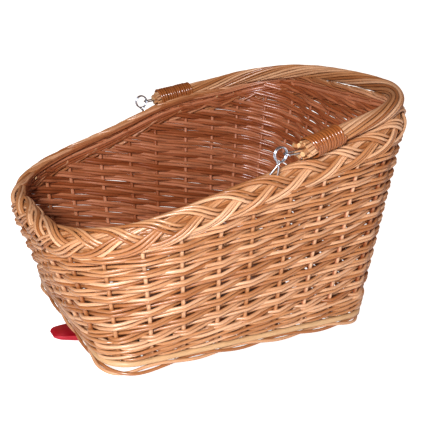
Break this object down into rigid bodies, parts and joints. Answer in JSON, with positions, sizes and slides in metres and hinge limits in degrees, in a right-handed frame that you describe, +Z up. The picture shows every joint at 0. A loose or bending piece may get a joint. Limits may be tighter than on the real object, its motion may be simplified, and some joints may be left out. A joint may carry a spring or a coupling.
{
  "type": "bicycle basket",
  "caption": "Wicker rear-carrier bicycle basket with a sloping plaited rim, a swinging roped handle and a latching carrier adapter.",
  "frame": {"origin": "middle of the carrier adapter's flat underside, on which the basket stands", "axes": "+X along the basket from the low end to the high end, +Y across it to its left side, +Z up"},
  "size_m": [0.449, 0.3641, 0.32],
  "materials": {
    "buff_willow": "boiled buff willow rods, satin",
    "pale_cane": "pale peeled rod, matt",
    "split_cane": "glossy split cane",
    "bright_wire": "bright drawn wire",
    "black_nylon": "fine moulded grain",
    "red_nylon": "moulded, semi-gloss",
    "spring_steel": "oiled spring wire",
    "zinc_steel": "bright zinc plated"
  },
  "bodies": {
    "basket": {"stake_01": "buff_willow", "stake_02": "buff_willow", "stake_03": "buff_willow", "stake_04": "buff_willow", "stake_05": "buff_willow", "stake_06": "buff_willow", "stake_07": "buff_willow", "stake_08": "buff_willow", "stake_09": "buff_willow", "stake_10": "buff_willow", "stake_11": "buff_willow", "stake_12": "buff_willow", "stake_13": "buff_willow", "stake_14": "buff_willow", "stake_15": "buff_willow", "stake_16": "buff_willow", "stake_17": "buff_willow", "stake_18": "buff_willow", "stake_19": "buff_willow", "stake_20": "buff_willow", "stake_21": "buff_willow", "stake_22": "buff_willow", "stake_23": "buff_willow", "stake_24": "buff_willow", "stake_25": "buff_willow", "stake_26": "buff_willow", "stake_27": "buff_willow", "stake_28": "buff_willow", "stake_29": "buff_willow", "stake_30": "buff_willow", "stake_31": "buff_willow", "stake_32": "buff_willow", "foot_rod_1": "buff_willow", "foot_rod_2": "buff_willow", "base_mat": "buff_willow", "base_waling": "buff_willow", "side_weave": "buff_willow", "border_plait": "buff_willow", "base_hoop": "pale_cane", "base_stick_1": "pale_cane", "base_stick_2": "pale_cane", "base_stick_3": "pale_cane", "base_stick_4": "pale_cane", "rim_loop_near": "bright_wire", "rim_loop_far": "bright_wire", "adapter_body": "black_nylon", "latch_spring": "spring_steel", "clamp_plate": "zinc_steel", "clamp_screw_1": "zinc_steel", "clamp_screw_2": "zinc_steel", "clamp_screw_3": "zinc_steel", "clamp_screw_4": "zinc_steel"},
    "handle": {"handle_rope": "buff_willow", "handle_binding_near": "split_cane", "handle_binding_far": "split_cane", "handle_eye_near": "bright_wire", "handle_eye_far": "bright_wire"},
    "latch": {"latch_slide": "black_nylon", "release_tab": "red_nylon"}
  },
  "joints": [
    {"name": "handle_swing", "type": "hinge", "parent": "basket", "child": "handle", "pos_m": [0.001, 0, 0.257], "axis": [0.0471, -0.9989, 0], "range_deg": [0, 182]},
    {"name": "latch_release", "type": "slide", "parent": "basket", "child": "latch", "axis": [-1, 0, 0], "range_m": [0, 0.014], "stiffness_N_per_m": 700, "springref_m": -0.005, "deforming": ["latch_spring"]}
  ]
}
